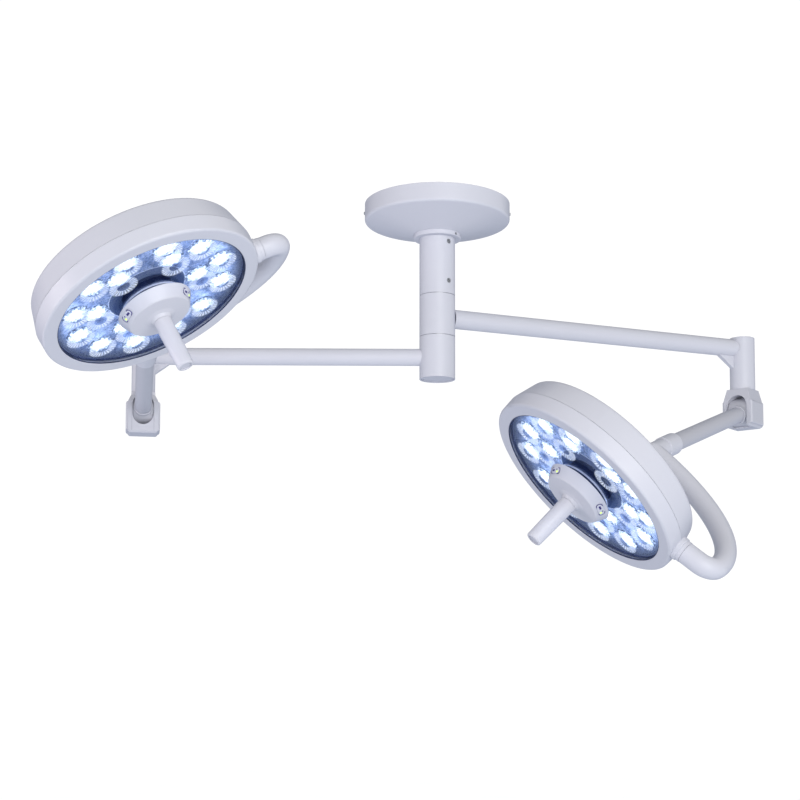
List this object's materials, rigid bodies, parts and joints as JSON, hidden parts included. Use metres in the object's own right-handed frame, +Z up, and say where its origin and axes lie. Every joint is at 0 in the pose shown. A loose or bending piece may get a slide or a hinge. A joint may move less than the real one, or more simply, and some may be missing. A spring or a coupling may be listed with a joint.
{
  "type": "surgical light",
  "caption": "Ceiling-mounted surgical light with two round LED heads on swinging arms, spring arms and C-shaped yokes, each with a pull-off handle.",
  "frame": {"origin": "centre of the ceiling mounting face, on the column axis", "axes": "+Z up through the ceiling, -X along the lower arm at rest, -Y towards the person facing the light"},
  "size_m": [1.9549, 1.5786, 1.1044],
  "materials": {
    "white_paint": "gloss powder coat",
    "white_plastic": "satin",
    "zinc_plate": "zinc plated",
    "machined_steel": "turned",
    "fastener_steel": "bright",
    "bronze": "satin",
    "clear_glass": "clear",
    "blue_reflector": "gloss",
    "lens_glass": "clear",
    "led_white": "emissive",
    "keypad": "membrane"
  },
  "bodies": {
    "column": {"ceiling_plate": "zinc_plate", "canopy": "white_paint", "canopy_screws": "fastener_steel", "canopy_collar": "white_paint", "down_tube": "white_paint", "column_screws": "fastener_steel", "spindle": "machined_steel", "flange_bolts": "fastener_steel", "thrust_washers": "machined_steel", "retaining_nut": "machined_steel", "end_cap": "white_plastic", "power_supplies": "zinc_plate"},
    "arm_left": {"hub_left": "white_paint", "hub_bushes_left": "bronze", "arm_tube_left": "white_paint", "elbow_left": "white_paint", "elbow_cap_left": "white_paint"},
    "knuckle_left": {"clevis_left": "white_paint", "clevis_covers_left": "white_plastic", "hinge_pin_left": "machined_steel"},
    "spring_arm_left": {"hinge_barrel_left": "white_paint", "spring_arm_left": "white_paint", "counterbalance_spring_left": "machined_steel"},
    "yoke_left": {"yoke_left": "white_paint", "swivel_spindle_left": "machined_steel", "pivot_spindle_left": "machined_steel"},
    "head_left": {"rear_housing_left": "white_paint", "front_bezel_left": "white_paint", "window_left": "clear_glass", "reflector_left": "blue_reflector", "lenses_left": "lens_glass", "leds_left": "led_white", "control_hub_left": "white_plastic"},
    "key_upper_left": {"key_upper_left": "keypad"},
    "key_lower_left": {"key_lower_left": "keypad"},
    "handle_left": {"handle_left": "white_plastic"},
    "arm_right": {"hub_right": "white_paint", "hub_bushes_right": "bronze", "arm_tube_right": "white_paint", "elbow_right": "white_paint", "elbow_cap_right": "white_paint"},
    "knuckle_right": {"clevis_right": "white_paint", "clevis_covers_right": "white_plastic", "hinge_pin_right": "machined_steel"},
    "spring_arm_right": {"hinge_barrel_right": "white_paint", "spring_arm_right": "white_paint", "counterbalance_spring_right": "machined_steel"},
    "yoke_right": {"yoke_right": "white_paint", "swivel_spindle_right": "machined_steel", "pivot_spindle_right": "machined_steel"},
    "head_right": {"rear_housing_right": "white_paint", "front_bezel_right": "white_paint", "window_right": "clear_glass", "reflector_right": "blue_reflector", "lenses_right": "lens_glass", "leds_right": "led_white", "control_hub_right": "white_plastic"},
    "key_upper_right": {"key_upper_right": "keypad"},
    "key_lower_right": {"key_lower_right": "keypad"},
    "handle_right": {"handle_right": "white_plastic"}
  },
  "joints": [
    {"name": "arm_swing_left", "type": "hinge", "parent": "column", "child": "arm_left", "pos_m": [0, 0, -0.442], "axis": [0, 0, 1], "range_deg": [-90, 30]},
    {"name": "knuckle_swivel_left", "type": "hinge", "parent": "arm_left", "child": "knuckle_left", "pos_m": [-0.8305, 0, -0.5988], "axis": [0, 0, 1], "range_deg": [-80, 45]},
    {"name": "arm_tilt_left", "type": "hinge", "parent": "knuckle_left", "child": "spring_arm_left", "pos_m": [-0.8305, 0, -0.5988], "axis": [-0.9851, -0.1719, 0], "range_deg": [-30, 12], "stiffness_Nm_per_rad": 150, "springref_deg": 102.98},
    {"name": "yoke_swivel_left", "type": "hinge", "parent": "spring_arm_left", "child": "yoke_left", "pos_m": [-0.68051, -0.85937, -0.48085], "axis": [0.1704, -0.9762, 0.134], "range_deg": [-150, 150]},
    {"name": "head_tilt_left", "type": "hinge", "parent": "yoke_left", "child": "head_left", "pos_m": [-0.68051, -0.85937, -0.48085], "axis": [0.88, 0.2119, 0.4251], "range_deg": [-110, 110]},
    {"name": "key_upper_press_left", "type": "slide", "parent": "head_left", "child": "key_upper_left", "axis": [-0.9651, 0.2606, -0.0246], "range_m": [0, 0.0005]},
    {"name": "key_lower_press_left", "type": "slide", "parent": "head_left", "child": "key_lower_left", "axis": [0.4365, 0.6256, 0.6466], "range_m": [0, 0.0005]},
    {"name": "handle_pull_left", "type": "slide", "parent": "head_left", "child": "handle_left", "axis": [0.4631, -0.1843, -0.8669], "range_m": [0, 0.08]},
    {"name": "arm_swing_right", "type": "hinge", "parent": "column", "child": "arm_right", "pos_m": [0, 0, -0.327], "axis": [0, 0, 1], "range_deg": [-45, 80]},
    {"name": "knuckle_swivel_right", "type": "hinge", "parent": "arm_right", "child": "knuckle_right", "pos_m": [0.95768, 0.39199, -0.5264], "axis": [0, 0, 1], "range_deg": [-120, 120]},
    {"name": "arm_tilt_right", "type": "hinge", "parent": "knuckle_right", "child": "spring_arm_right", "pos_m": [0.95768, 0.39199, -0.5264], "axis": [-0.7896, 0.6136, 0], "range_deg": [-24, 30], "stiffness_Nm_per_rad": 200, "springref_deg": 110.98},
    {"name": "yoke_swivel_right", "type": "hinge", "parent": "spring_arm_right", "child": "yoke_right", "pos_m": [0.39113, -0.33708, -0.83803], "axis": [-0.5814, -0.7482, -0.3198], "range_deg": [-150, 150]},
    {"name": "head_tilt_right", "type": "hinge", "parent": "yoke_right", "child": "head_right", "pos_m": [0.39113, -0.33708, -0.83803], "axis": [0.7236, -0.2957, -0.6237], "range_deg": [-110, 110]},
    {"name": "key_upper_press_right", "type": "slide", "parent": "head_right", "child": "key_upper_right", "axis": [-0.2459, 0.6125, 0.7513], "range_m": [0, 0.0005]},
    {"name": "key_lower_press_right", "type": "slide", "parent": "head_right", "child": "key_lower_right", "axis": [0.8668, 0.4168, -0.2737], "range_m": [0, 0.0005]},
    {"name": "handle_pull_right", "type": "slide", "parent": "head_right", "child": "handle_right", "axis": [-0.6834, -0.1799, -0.7075], "range_m": [0, 0.08]}
  ]
}
